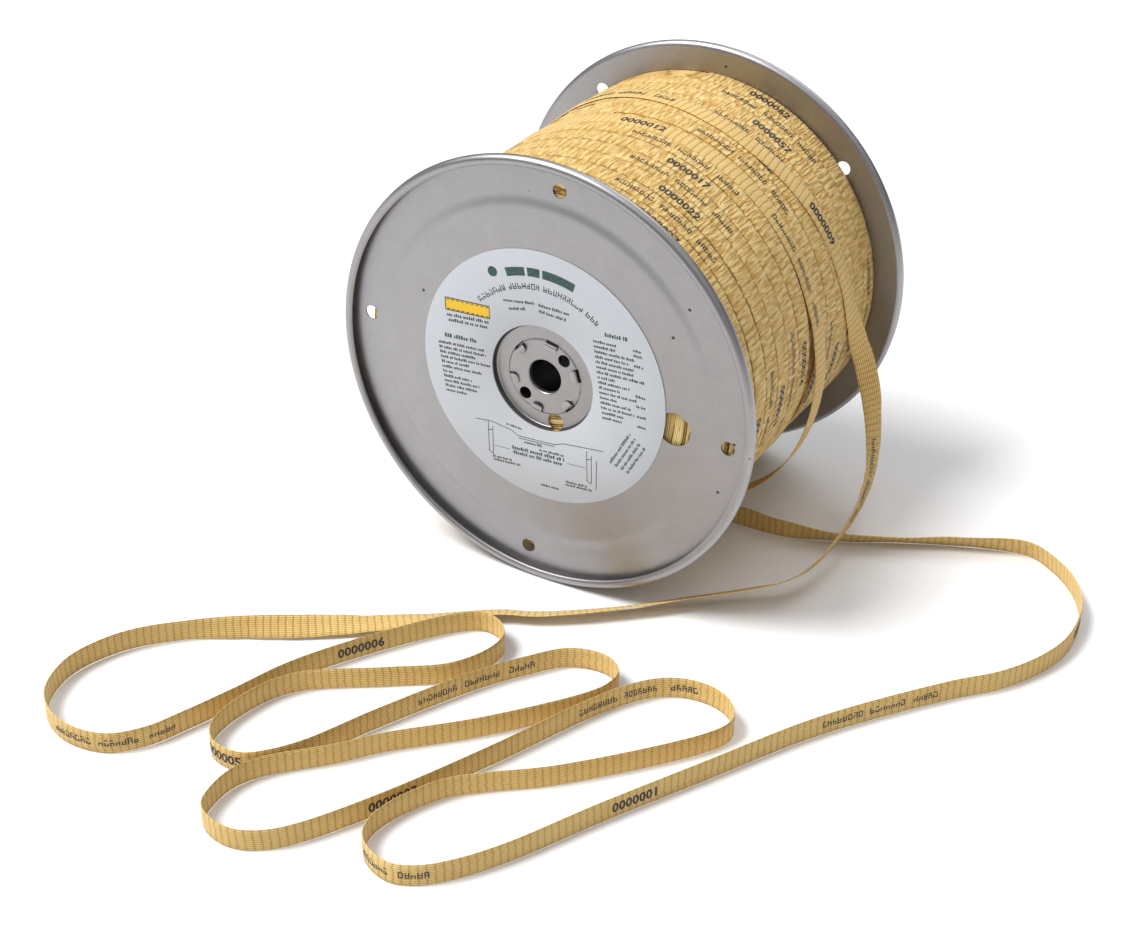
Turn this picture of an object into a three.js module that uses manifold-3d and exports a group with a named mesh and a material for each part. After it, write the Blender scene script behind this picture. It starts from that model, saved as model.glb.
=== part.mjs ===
// Reel of woven measuring tape on a pressed steel spool.
// Millimetres, +Z up. The spool lies on its two rims with its axis along Y, and its labelled
// flange faces -Y. The origin is on the floor, midway between the flanges, under the axis.

import * as THREE from 'three';
import { mergeVertices } from 'three/addons/utils/BufferGeometryUtils.js';
import Module from 'manifold-3d';

const wasm = await Module();
wasm.setup();

// ---- Driving dimensions -------------------------------------------------------------------
const FACETS = 56; // flats round each turned piece, so the rims rest on a flat
const CLEARANCE = 0.3; // air between two pieces that touch on the real reel
const SHEET = 0.9; // steel sheet of flanges and barrel

const FLANGE_RADIUS = 133.35;
const WEB_OUTER = 98; // outer face of the rim zone, from the middle of the spool
const WEB_RAISE = 1; // how far the label zone stands out from the rim zone
const STEP_RADIUS = 103.7; // inner edge of the sloping step between the two zones
const STEP_WIDTH = 5.2;
const CURL_RADIUS = 2.3; // inside radius of the rolled rim
const CURL_END = 140; // degrees the roll goes on past level

const RECESS_RADIUS = 31.6; // floor of the sunk hub
const RECESS_DEPTH = 3;
const RECESS_WALL = 1.2; // radial run of the sloping wall
const HUB_DISC_RAISE = 0.6; // the middle of the hub stands up inside the ring of tabs
const REAR_TURN = 146; // the rear flange is the same pressing, turned this far round the axis
const ARBOR_RADIUS = 10.3;
const COLLAR_LENGTH = 3; // arbor hole's edge, turned inwards

const BARREL_RADIUS = 22.9;
const BARREL_WALL = 0.8;
const TAB_COUNT = 6;
const TAB_FIRST_ANGLE = 17;
const TAB_WIDTH = 7;
const TAB_LENGTH = 4.6; // tongue folded over the hub

const RIM_HOLE_RADIUS = 4.3;
const RIM_HOLE_CIRCLE = 116.7;
const RIM_HOLE_FIRST_ANGLE = -5.3;
const SIGHT_HOLE_RADIUS = 10.2;
const SIGHT_HOLE_CIRCLE = 84.2;
const START_HOLE_RADIUS = 5.1;
const START_HOLE_CIRCLE = 28.2;
const START_HOLE_ANGLE = -75.8;
const DRIVE_HOLE_RADIUS = 3.8;
const DRIVE_HOLE_CIRCLE = 18.6;
const DRIVE_HOLE_ANGLES = [47, 227];

const LABEL_RADIUS = 78.5;
const LABEL_HOLE_RADIUS = 32.9;
const LABEL_THICKNESS = 0.25;
const LABEL_GAP = 0.2;

const PACK_RADIUS = 116.4; // wound tape up to its last full layer
const TAPE_WIDTH = 13.2;
const TAPE_THICKNESS = 0.7;
const TOP_LAYER_END = -1.2; // the top layer is unwound from the rear up to here

// ---- Sizes that follow ----------------------------------------------------------------------
const LABEL_ZONE = WEB_OUTER + WEB_RAISE;
const HUB_FLOOR = LABEL_ZONE - RECESS_DEPTH;
const HUB_DISC = HUB_FLOOR + HUB_DISC_RAISE;
const CURL_CENTRE_RADIUS = FLANGE_RADIUS - CURL_RADIUS - SHEET;
const TAPE_LEVEL = PACK_RADIUS + CLEARANCE + TAPE_THICKNESS / 2; // middle of a turn on the pack
const radians = THREE.MathUtils.degToRad;

// ---- Small tools ----------------------------------------------------------------------------
function weld(geometry) {
  const bare = geometry.clone();
  bare.deleteAttribute('normal');
  bare.deleteAttribute('uv');
  return mergeVertices(bare, 1e-4);
}

function volumeOf(positions, triangles) {
  const corner = [new THREE.Vector3(), new THREE.Vector3(), new THREE.Vector3()];
  let sum = 0;
  for (let i = 0; i < triangles.length; i += 3) {
    corner.forEach((point, k) => point.fromArray(positions, 3 * triangles[i + k]));
    sum += corner[0].dot(corner[1].cross(corner[2])) / 6;
  }
  return sum;
}

// A closed geometry as a solid, turned right side out.
function solidOf(geometry) {
  const welded = weld(geometry);
  const positions = Float32Array.from(welded.attributes.position.array);
  const triangles = [];
  for (let i = 0; i < welded.index.count; i += 3) {
    const [a, b, c] = [0, 1, 2].map((k) => welded.index.getX(i + k));
    if (a !== b && b !== c && c !== a) triangles.push(a, b, c);
  }
  if (volumeOf(positions, triangles) < 0) triangles.reverse();
  const mesh = new wasm.Mesh({
    numProp: 3,
    vertProperties: positions,
    triVerts: Uint32Array.from(triangles),
  });
  return new wasm.Manifold(mesh);
}

function geometryOf(solid) {
  const mesh = solid.getMesh();
  const geometry = new THREE.BufferGeometry();
  geometry.setAttribute('position', new THREE.BufferAttribute(mesh.vertProperties, 3));
  geometry.setIndex(new THREE.BufferAttribute(mesh.triVerts, 1));
  geometry.computeVertexNormals();
  return geometry;
}

// Turns a closed outline of (radius, distance along the axis) about Y, with a flat at the bottom.
function turned(outline) {
  const closed = [...outline, outline[0]];
  return solidOf(new THREE.LatheGeometry(closed, FACETS, Math.PI / FACETS, 2 * Math.PI));
}

function onCircle(radius, degrees) {
  const angle = radians(degrees);
  return new THREE.Vector3(radius * Math.cos(angle), 0, radius * Math.sin(angle));
}

// A round hole along Y through one flange's sheet, at a place on a circle round the axis.
function punch(radius, circle, degrees, depth) {
  const tool = new THREE.CylinderGeometry(radius, radius, depth, 24);
  const place = onCircle(circle, degrees);
  tool.translate(place.x, -LABEL_ZONE, place.z);
  return solidOf(tool);
}

// Gives a sheet its thickness: the path is its outer face, and the other face lies to its right.
function sheetOutline(path, thickness) {
  const behind = path.map((point, i) => {
    const before = path[Math.max(i - 1, 0)];
    const after = path[Math.min(i + 1, path.length - 1)];
    const into = point.clone().sub(before).normalize();
    const out = after.clone().sub(point).normalize();
    if (i === 0) into.copy(out);
    if (i === path.length - 1) out.copy(into);
    const rightIn = new THREE.Vector2(into.y, -into.x);
    const rightOut = new THREE.Vector2(out.y, -out.x);
    const mitre = rightIn.clone().add(rightOut).normalize();
    return point.clone().addScaledVector(mitre, thickness / mitre.dot(rightIn));
  });
  return [...path, ...behind.reverse()];
}

function material(colour, roughness, metalness) {
  return new THREE.MeshStandardMaterial({ color: colour, roughness, metalness });
}

const STEEL = () => material(0xa8a3a0, 0.42, 0.9);
const PAPER = () => material(0xcdd4de, 0.75, 0);
const TAPE = () => material(0xd3b36c, 0.8, 0);

// ---- Flanges --------------------------------------------------------------------------------
// Path of the outer face, from the collar round the arbor hole to the edge of the rolled rim.
function flangePath() {
  const flat = [
    [ARBOR_RADIUS, HUB_DISC - COLLAR_LENGTH],
    [ARBOR_RADIUS, HUB_DISC],
    [BARREL_RADIUS, HUB_DISC],
    [BARREL_RADIUS + HUB_DISC_RAISE, HUB_FLOOR],
    [RECESS_RADIUS, HUB_FLOOR],
    [RECESS_RADIUS + RECESS_WALL, LABEL_ZONE],
    [STEP_RADIUS, LABEL_ZONE],
    [STEP_RADIUS + STEP_WIDTH, WEB_OUTER],
  ].map(([radius, along]) => new THREE.Vector2(radius, along));
  const curlCentre = new THREE.Vector2(CURL_CENTRE_RADIUS, WEB_OUTER + CURL_RADIUS);
  const turns = 8;
  for (let i = 0; i <= turns; i++) {
    const angle = radians(-90 + ((90 + CURL_END) * i) / turns);
    const spoke = new THREE.Vector2(Math.cos(angle), Math.sin(angle));
    flat.push(curlCentre.clone().addScaledVector(spoke, CURL_RADIUS));
  }
  return flat;
}

function flangeOutline() {
  return sheetOutline(flangePath(), SHEET);
}

function slot(degrees) {
  const wide = TAB_WIDTH + 2 * CLEARANCE;
  const deep = BARREL_WALL + 2 * CLEARANCE;
  const tool = new THREE.BoxGeometry(deep, 3 * RECESS_DEPTH, wide);
  tool.rotateY(-radians(degrees));
  const place = onCircle(BARREL_RADIUS - BARREL_WALL / 2, degrees);
  tool.translate(place.x, -LABEL_ZONE, place.z);
  return solidOf(tool);
}

// A flange with its outer face towards -Y, its holes turned round the axis by some degrees.
function flange(turn) {
  const outline = flangeOutline();
  const mirrored = outline.map((point) => new THREE.Vector2(point.x, -point.y));
  const tools = [];
  for (let i = 0; i < 4; i++) {
    tools.push(punch(RIM_HOLE_RADIUS, RIM_HOLE_CIRCLE, turn + RIM_HOLE_FIRST_ANGLE + 90 * i, 12));
  }
  tools.push(punch(SIGHT_HOLE_RADIUS, SIGHT_HOLE_CIRCLE, turn + RIM_HOLE_FIRST_ANGLE, 12));
  tools.push(punch(START_HOLE_RADIUS, START_HOLE_CIRCLE, turn + START_HOLE_ANGLE, 12));
  DRIVE_HOLE_ANGLES.forEach((angle) => {
    tools.push(punch(DRIVE_HOLE_RADIUS, DRIVE_HOLE_CIRCLE, turn + angle, 12));
  });
  for (let i = 0; i < TAB_COUNT; i++) {
    tools.push(slot(turn + TAB_FIRST_ANGLE + (360 / TAB_COUNT) * i));
  }
  return tools.reduce((sheet, tool) => sheet.subtract(tool), turned(mirrored));
}

// ---- Barrel ---------------------------------------------------------------------------------
// A tab runs on from the tube, through the hub, and folds in over its face.
function tab(degrees, end) {
  const outside = BARREL_RADIUS;
  const inside = BARREL_RADIUS - BARREL_WALL;
  const root = HUB_FLOOR - SHEET - CLEARANCE - 2;
  const fold = HUB_DISC + CLEARANCE;
  const top = fold + BARREL_WALL;
  const side = new THREE.Shape([
    new THREE.Vector2(outside, root),
    new THREE.Vector2(outside, fold),
    new THREE.Vector2(inside, top),
    new THREE.Vector2(outside - TAB_LENGTH, top),
    new THREE.Vector2(outside - TAB_LENGTH, fold),
    new THREE.Vector2(inside, fold),
    new THREE.Vector2(inside, root),
  ]);
  const strip = new THREE.ExtrudeGeometry(side, { depth: TAB_WIDTH, bevelEnabled: false });
  strip.translate(0, 0, -TAB_WIDTH / 2);
  if (end < 0) strip.rotateX(Math.PI);
  strip.rotateY(-radians(degrees));
  return solidOf(strip);
}

function barrel() {
  const half = HUB_FLOOR - SHEET - CLEARANCE;
  const tube = turned([
    new THREE.Vector2(BARREL_RADIUS - BARREL_WALL, -half),
    new THREE.Vector2(BARREL_RADIUS, -half),
    new THREE.Vector2(BARREL_RADIUS, half),
    new THREE.Vector2(BARREL_RADIUS - BARREL_WALL, half),
  ]);
  let whole = tube;
  for (let i = 0; i < TAB_COUNT; i++) {
    const angle = TAB_FIRST_ANGLE + (360 / TAB_COUNT) * i;
    whole = whole.add(tab(angle, -1)).add(tab(angle, 1));
  }
  return whole;
}

// ---- Label ----------------------------------------------------------------------------------
function label() {
  const back = LABEL_ZONE + LABEL_GAP;
  const face = back + LABEL_THICKNESS;
  return turned([
    new THREE.Vector2(LABEL_HOLE_RADIUS, -face),
    new THREE.Vector2(LABEL_RADIUS, -face),
    new THREE.Vector2(LABEL_RADIUS, -back),
    new THREE.Vector2(LABEL_HOLE_RADIUS, -back),
  ]);
}

// ---- Wound tape -----------------------------------------------------------------------------
// Everything wound below the top layer, as one body that fills the space between the flanges.
function tapePack() {
  const rimHalf = WEB_OUTER - SHEET - CLEARANCE;
  const hubHalf = HUB_FLOOR - SHEET - CLEARANCE;
  const hubEdge = RECESS_RADIUS + RECESS_WALL + SHEET;
  const inner = BARREL_RADIUS + 2 * CLEARANCE;
  const corners = [
    [inner, -hubHalf],
    [hubEdge, -hubHalf],
    [hubEdge + CLEARANCE, -rimHalf],
    [PACK_RADIUS, -rimHalf],
    [PACK_RADIUS, rimHalf],
    [hubEdge + CLEARANCE, rimHalf],
    [hubEdge, hubHalf],
    [inner, hubHalf],
  ];
  return turned(corners.map(([radius, along]) => new THREE.Vector2(radius, along)));
}

function topLayer() {
  const low = PACK_RADIUS + CLEARANCE;
  const high = low + TAPE_THICKNESS;
  const front = -(WEB_OUTER - SHEET - CLEARANCE);
  return turned([
    new THREE.Vector2(low, front),
    new THREE.Vector2(high, front),
    new THREE.Vector2(high, TOP_LAYER_END),
    new THREE.Vector2(low, TOP_LAYER_END),
  ]);
}

// ---- Loose and free tape --------------------------------------------------------------------
// Makes both faces of a strip fold along the same lines, so that they don't meet in a twist.
function matchFolds(strip) {
  const { start, count } = strip.groups[5];
  const corners = strip.index.array;
  for (let i = start; i < start + count; i += 6) {
    const [a, b, d, , c] = corners.slice(i, i + 6);
    corners.set([a, b, c, a, c, d], i);
  }
}

// A strip along a line of stations, each with a place and the direction of the tape's width.
function ribbon(stations) {
  const steps = stations.length - 1;
  const strip = new THREE.BoxGeometry(1, 1, 1, steps, 1, 1);
  matchFolds(strip);
  const position = strip.attributes.position;
  const vertex = new THREE.Vector3();
  for (let i = 0; i < position.count; i++) {
    vertex.fromBufferAttribute(position, i);
    const index = Math.round((vertex.x + 0.5) * steps);
    const { place, along, across } = stations[index];
    const face = new THREE.Vector3().crossVectors(along, across);
    const point = place.clone();
    point.addScaledVector(across, vertex.y * TAPE_WIDTH);
    point.addScaledVector(face, vertex.z * TAPE_THICKNESS);
    position.setXYZ(i, point.x, point.y, point.z);
  }
  return solidOf(strip);
}

// Stations from a list of places and width directions. Each end is drawn back by half the
// clearance, so that two stretches meet face to face.
function stationsAlong(places, widths) {
  return places.map((place, i) => {
    const before = places[Math.max(i - 1, 0)];
    const after = places[Math.min(i + 1, places.length - 1)];
    const along = after.clone().sub(before).normalize();
    const across = widths[i].clone();
    across.addScaledVector(along, -across.dot(along)).normalize();
    return { place: place.clone(), along, across };
  });
}

function stretch(stations, first, last) {
  const part = stations.slice(first, last + 1).map((station) => ({ ...station }));
  const trim = (station, sign) => {
    const place = station.place.clone();
    station.place = place.addScaledVector(station.along, (sign * CLEARANCE) / 2);
  };
  trim(part[0], 1);
  trim(part[part.length - 1], -1);
  return ribbon(part);
}

// The last turn on the pack: angle round the axis in degrees (0 is +X, 90 is up), how far the
// turn stands off the pack, and its place along Y. It hangs slack under the pack.
const LAST_TURN = [
  [480, 0, 6.2], [450, 0, 6.6], [420, 0, 7.2], [395, 0, 8.2], [376, 0.2, 9.6], [360, 2.5, 11.5],
  [345, 6.5, 13.5], [336, 9.5, 13.5], [326, 12.8, 13], [315, 15.2, 12.5], [305, 15.6, 12.8],
  [290, 14.2, 14.5], [270, 12.6, 18.5], [250, 9.8, 23.5], [230, 5.8, 29.5], [212, 1.8, 35.5],
  [200, 0.2, 39.5], [185, 0, 44.5], [165, 0, 49.5], [145, 0, 53], [125, 0, 54], [112, 0, 52],
  [100, 0, 47.8], [88, 0, 43.8], [75, 0, 40.6], [62, 0, 39.6], [52, 0, 41.6], [40, 0, 45.4],
  [28, 0, 49], [18, 0, 51.7], [8, 0, 56],
];

// Stations of the last turn stand at the corners of the pack's facets.
function lastTurnStations() {
  const places = [];
  const step = 360 / FACETS;
  const start = LAST_TURN[0][0];
  const stop = LAST_TURN[LAST_TURN.length - 1][0];
  const firstCorner = 90 + step * (Math.floor((start - 90) / step - 0.5) + 0.5);
  for (let degrees = firstCorner; degrees > stop; degrees -= step) {
    const next = LAST_TURN.findIndex((row) => row[0] <= degrees);
    const after = LAST_TURN[Math.max(next, 1)];
    const before = LAST_TURN[Math.max(next, 1) - 1];
    const share = (before[0] - degrees) / (before[0] - after[0]);
    const off = THREE.MathUtils.lerp(before[1], after[1], share);
    const along = THREE.MathUtils.lerp(before[2], after[2], share);
    places.push(onCircle(TAPE_LEVEL + off, degrees).setY(along));
  }
  return stationsAlong(places, places.map(() => new THREE.Vector3(0, 1, 0)));
}

// The free tape, from the pack to its cut end: place, then the direction of its width. It drops
// beside the pack, passes under the front rim, turns over, and runs on edge in long loops.
const DROP = [
  [117.1, 57.5, 141.5, 0, 1, 0], [118.4, 63.5, 127, 0.2, 0.98, 0.06],
  [119.8, 69.2, 112, 0.46, 0.88, 0.15], [122.2, 74.4, 98, 0.64, 0.75, 0.18],
  [124.4, 78.2, 84, 0.72, 0.66, 0.2], [126.8, 80.9, 69, 0.62, 0.77, 0.12],
  [128.8, 81.2, 55, 0.46, 0.9, 0], [131.3, 78.5, 43, 0.38, 0.85, -0.3],
  [133.8, 72.5, 33, 0.3, 0.72, -0.62], [137.3, 61, 26.6, 0.18, 0.5, -0.84],
  [140.2, 46.5, 22.5, 0.04, 0.3, -0.95], [142.8, 29, 20.2, -0.13, 0.2, -0.97],
  [144, 10, 18.6, -0.28, 0.14, -0.95], [143.8, -8, 16.6, -0.38, 0.22, -0.9],
  [142, -26, 14.4, -0.45, 0.34, -0.82], [134, -45, 11, -0.5, 0.6, -0.62],
  [117, -61, 8.5, -0.46, 0.72, -0.52], [92, -83, 7, -0.46, 0.72, -0.52],
  [66, -106, 5.5, -0.46, 0.72, -0.52], [38, -129, 5, -0.5, 0.75, -0.45],
  [18.8, -141.5, 4.5, -0.5, 0.75, -0.4], [1.8, -149.4, 4.5, -0.5, 0.75, -0.4],
  [-23.2, -169.4, 4.5, -0.5, 0.8, -0.3], [-55, -195.8, 4.5, -0.5, 0.85, 0.1],
  [-71, -208.5, 5.5, -0.47, 0.78, 0.42],
  [-87, -221, 6.5, -0.4, 0.65, 0.7], [-101, -230.5, 7, -0.3, 0.48, 0.88],
  [-116, -240, 7, -0.2, 0.3, 1],
];
const LOOPS = [
  [-143, -260], [-165, -286], [-174, -318], [-164, -347], [-140, -361], [-113, -358],
  [-98, -343], [-88, -320], [-78, -292], [-66, -257], [-38, -208], [-12, -173.5],
  [0, -165], [12, -167], [21, -177], [21, -192], [10, -214],
  [-16, -234], [-54, -261], [-65, -276], [-70, -292], [-72, -308], [-70, -322],
  [-62, -332], [-51, -335], [-40, -333], [-30, -324], [-19, -308], [-1, -267], [27, -211],
  [42, -189], [57, -171], [71, -165], [84, -166], [93, -174], [93, -187],
  [86, -201], [50, -246], [12, -284], [-4, -304], [-17, -317], [-29, -330], [-37, -345],
  [-38, -361], [-34, -375], [-22, -382], [-7, -382], [7, -374], [18, -361], [40, -322],
  [68, -261], [90, -207], [100, -187], [113, -170], [126, -162], [141, -160],
  [154, -164], [163, -173], [165, -183], [158, -198], [105, -259],
  [76, -283], [62, -296], [53, -311], [47, -326], [45, -341], [49, -353], [60, -361],
  [73, -363], [86, -357], [98, -345], [113, -323], [138, -274], [168, -219],
];
const RUN_BACK = [
  [204, -154, 0], [252, -90, 0], [272, -68, 0], [285, -46, 0], [292, -25, 0], [293, -3, 0],
  [288, 21, 0], [276, 41, 5], [259, 56, 12], [241, 64, 17], [203, 52, 35], [170, 36, 46],
  [137, 19, 38], [103, 9, 10], [82, 9, 0], [66, 9, 0],
];
const LOOP_ENDS = [16, 35, 58]; // places in LOOPS where one loop's stretch hands on to the next

function freeTapeStations() {
  const places = [];
  const widths = [];
  const floorPlace = (x, y, lean) => {
    // On edge the width stands up. A lean tips its top edge towards -Y.
    const up = Math.cos(radians(lean));
    const down = Math.sin(radians(lean));
    const height = (TAPE_WIDTH * up + TAPE_THICKNESS * down) / 2 + CLEARANCE;
    places.push(new THREE.Vector3(x, y, height));
    widths.push(new THREE.Vector3(0.45 * (1 - up), -Math.sin(radians(lean)), up));
  };
  DROP.forEach(([x, y, z, ...width]) => {
    places.push(new THREE.Vector3(x, y, z));
    widths.push(new THREE.Vector3(...width));
  });
  LOOPS.forEach(([x, y]) => floorPlace(x, y, 0));
  RUN_BACK.forEach(([x, y, lean]) => floorPlace(x, y, lean));
  return stationsAlong(places, widths);
}

// ---- The reel -------------------------------------------------------------------------------
const reel = new THREE.Group();
const rimRadius = Math.max(...flangeOutline().map((point) => point.x));
const AXIS_HEIGHT = rimRadius * Math.cos(Math.PI / FACETS);

function place(name, solid, look, height) {
  const mesh = new THREE.Mesh(geometryOf(solid), look);
  mesh.name = name;
  mesh.position.z = height;
  reel.add(mesh);
  return mesh;
}

place('front_flange', flange(0), STEEL(), AXIS_HEIGHT);
place('rear_flange', flange(REAR_TURN), STEEL(), AXIS_HEIGHT).rotation.z = Math.PI;
place('barrel', barrel(), STEEL(), AXIS_HEIGHT);
place('label', label(), PAPER(), AXIS_HEIGHT);
place('tape_pack', tapePack(), TAPE(), AXIS_HEIGHT);
place('tape_top_layer', topLayer(), TAPE(), AXIS_HEIGHT);

const lastTurn = lastTurnStations();
const slackFrom = 15;
const slackTo = 43;
place('tape_last_course', stretch(lastTurn, 0, slackFrom), TAPE(), AXIS_HEIGHT);
place('tape_slack_turn', stretch(lastTurn, slackFrom, slackTo), TAPE(), AXIS_HEIGHT);
place('tape_leaving_turn', stretch(lastTurn, slackTo, lastTurn.length - 1), TAPE(), AXIS_HEIGHT);

const freeTape = freeTapeStations();
const cuts = [0, DROP.length, ...LOOP_ENDS.map((end) => DROP.length + end)];
cuts.push(DROP.length + LOOPS.length - 1, freeTape.length - 1);
const stretchNames = ['tape_drop', 'tape_loop_1', 'tape_loop_2', 'tape_loop_3', 'tape_loop_4'];
stretchNames.push('tape_end_run');
stretchNames.forEach((name, i) => {
  place(name, stretch(freeTape, cuts[i], cuts[i + 1]), TAPE(), 0);
});

export default reel;
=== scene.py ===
"""A reel of woven measuring tape on a pressed steel spool, laid out as an add-on and run as a script."""

import math
import random
from bisect import bisect_right

import bmesh
import bpy
from bpy.props import FloatProperty, FloatVectorProperty
from bpy.types import Operator, Panel, PropertyGroup
from mathutils import Matrix, Vector, noise


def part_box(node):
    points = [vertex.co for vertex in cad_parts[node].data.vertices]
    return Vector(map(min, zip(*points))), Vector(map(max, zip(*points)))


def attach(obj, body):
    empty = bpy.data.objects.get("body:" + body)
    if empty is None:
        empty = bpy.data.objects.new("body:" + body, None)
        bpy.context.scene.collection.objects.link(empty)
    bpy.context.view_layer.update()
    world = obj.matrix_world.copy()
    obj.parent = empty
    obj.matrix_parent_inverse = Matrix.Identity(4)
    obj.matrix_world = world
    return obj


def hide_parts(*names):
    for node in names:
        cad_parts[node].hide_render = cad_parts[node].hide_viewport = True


bl_info = {
    "name": "Measuring Tape Reel",
    "version": (1, 0, 0),
    "blender": (4, 5, 0),
    "location": "View3D > Sidebar > Tape Reel",
    "description": "Builds a steel spool wound with printed woven tape around its packed frame",
    "category": "Object",
}

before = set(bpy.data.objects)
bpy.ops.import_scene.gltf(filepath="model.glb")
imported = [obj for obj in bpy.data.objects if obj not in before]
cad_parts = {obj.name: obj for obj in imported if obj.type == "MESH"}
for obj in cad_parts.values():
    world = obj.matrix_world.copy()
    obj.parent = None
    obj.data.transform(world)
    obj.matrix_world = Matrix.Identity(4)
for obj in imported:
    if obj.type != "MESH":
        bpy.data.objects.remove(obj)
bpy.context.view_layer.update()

MM = 0.001
FOOT = 304.8 * MM
AXIS_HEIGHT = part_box("front_flange")[1][2] / 2
LABEL_FACE = -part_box("label")[0][1]
PACK_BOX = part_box("tape_pack")
PACK_SIDES = 56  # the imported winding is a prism, and its box reaches only to its flat sides
PACK_RADIUS = (PACK_BOX[1][0] - PACK_BOX[0][0]) / 2 / math.cos(math.pi / PACK_SIDES)
PACK_HALF = PACK_BOX[1][1]

# These are in millimetres.
SHEET = 0.9
BARREL_RADIUS = 22.9
BARREL_WALL = 0.8
TAPE_WIDTH = 13.2
TAPE_THICKNESS = 0.66


def set_all(target, **settings):
    for name, setting in settings.items():
        setattr(target, name, setting)


# ---- Shader maths ----
def arithmetic(operation, swapped=False):
    """A method that joins a value and another number in one operation."""

    def work(self, other):
        values = {0: other, 1: self} if swapped else {0: self, 1: other}
        return self.graph.node("ShaderNodeMath", {"operation": operation}, values)

    return work


class Value:
    """One number that varies over a surface: a node's output with Python's own arithmetic."""

    __add__ = __radd__ = arithmetic("ADD")
    __mul__ = __rmul__ = arithmetic("MULTIPLY")
    __sub__ = arithmetic("SUBTRACT")
    __rsub__ = arithmetic("SUBTRACT", swapped=True)
    __truediv__ = arithmetic("DIVIDE")
    __pow__ = arithmetic("POWER")

    def __init__(self, graph, socket):
        self.graph = graph
        self.socket = socket

    def clamp(self):
        settings = {"operation": "ADD", "use_clamp": True}
        return self.graph.node("ShaderNodeMath", settings, {0: self, 1: 0.0})

    def fraction(self):
        return self.graph.node("ShaderNodeMath", {"operation": "FRACT"}, {0: self})

    def size(self):
        return self.graph.node("ShaderNodeMath", {"operation": "ABSOLUTE"}, {0: self})

    def step(self, low, high):
        """0 below low, 1 above high, and smooth between them."""
        settings = {"interpolation_type": "SMOOTHSTEP", "clamp": True}
        return self.graph.node("ShaderNodeMapRange", settings, {0: self, 1: low, 2: high, 3: 0.0, 4: 1.0})


class Graph:
    """The node tree of one material or world."""

    def __init__(self, name, kind="materials"):
        self.owner = getattr(bpy.data, kind).new(name)
        self.owner.use_nodes = True
        self.tree = self.owner.node_tree
        self.tree.nodes.clear()

    def node(self, kind, settings=None, values=None, output=0):
        """A node of that kind, with its settings made first, then its sockets filled or linked."""
        made = self.tree.nodes.new(kind)
        set_all(made, **(settings or {}))
        for key, value in (values or {}).items():
            if isinstance(value, Value):
                self.tree.links.new(value.socket, made.inputs[key])
            elif value is not None:
                made.inputs[key].default_value = value
        return Value(self, made.outputs[output]) if made.outputs else None

    def place(self, scale=(1, 1, 1)):
        """The point on the piece, in the object's own metres, stretched by scale."""
        point = self.node("ShaderNodeTexCoord", output=3)
        return self.node("ShaderNodeVectorMath", {"operation": "MULTIPLY"}, {0: point, 1: scale})

    def parts(self, vector):
        """The three numbers of a vector."""
        split = self.node("ShaderNodeSeparateXYZ", values={0: vector}).socket.node
        return [Value(self, output) for output in split.outputs]

    def along_tape(self):
        """Metres along a tape, and across it from its middle."""
        spot = self.node("ShaderNodeUVMap", {"uv_map": "tape"})
        return self.parts(spot)[:2]

    def point(self, x, y, z=0.0):
        return self.node("ShaderNodeCombineXYZ", values={0: x, 1: y, 2: z})

    def noise(self, vector, scale, detail=2.0, roughness=0.5):
        values = {"Vector": vector, "Scale": scale, "Detail": detail, "Roughness": roughness}
        return self.node("ShaderNodeTexNoise", values=values)

    def speckle(self, vector, scale):
        return self.node("ShaderNodeTexVoronoi", values={"Vector": vector, "Scale": scale})

    def blend(self, share, first, second):
        """From colour first at 0 to colour second at 1."""
        colours = [c if isinstance(c, Value) else (*c, 1.0) for c in (first, second)]
        values = {0: share, 6: colours[0], 7: colours[1]}
        return self.node("ShaderNodeMix", {"data_type": "RGBA"}, values, output=2)

    def ramp(self, value, stops):
        """A colour ramp with stops of (position, colour)."""
        made = self.node("ShaderNodeValToRGB", values={0: value})
        elements = made.socket.node.color_ramp.elements
        while len(elements) < len(stops):
            elements.new(0.5)
        for element, (position, colour) in zip(elements, stops):
            set_all(element, position=position, color=(*colour, 1.0))
        return made

    def bump(self, height, distance, strength=1.0, under=None):
        values = {"Height": height, "Distance": distance, "Strength": strength, "Normal": under}
        return self.node("ShaderNodeBump", values=values)

    def from_axis(self, x, z):
        """The distance from the reel's axis."""
        return (x * x + (z - AXIS_HEIGHT) * (z - AXIS_HEIGHT)) ** 0.5

    def surface(self, **sockets):
        """Ends the material in one shader. Names take spaces for underscores."""
        values = {name.replace("_", " "): value for name, value in sockets.items()}
        shader = self.node("ShaderNodeBsdfPrincipled", values=values)
        self.node("ShaderNodeOutputMaterial", values={0: shader})
        return self.owner


# ---- Finishes ----
def toned(colour, factor):
    """A colour made darker or lighter."""
    return tuple(min(1.0, factor * c) for c in colour)


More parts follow.
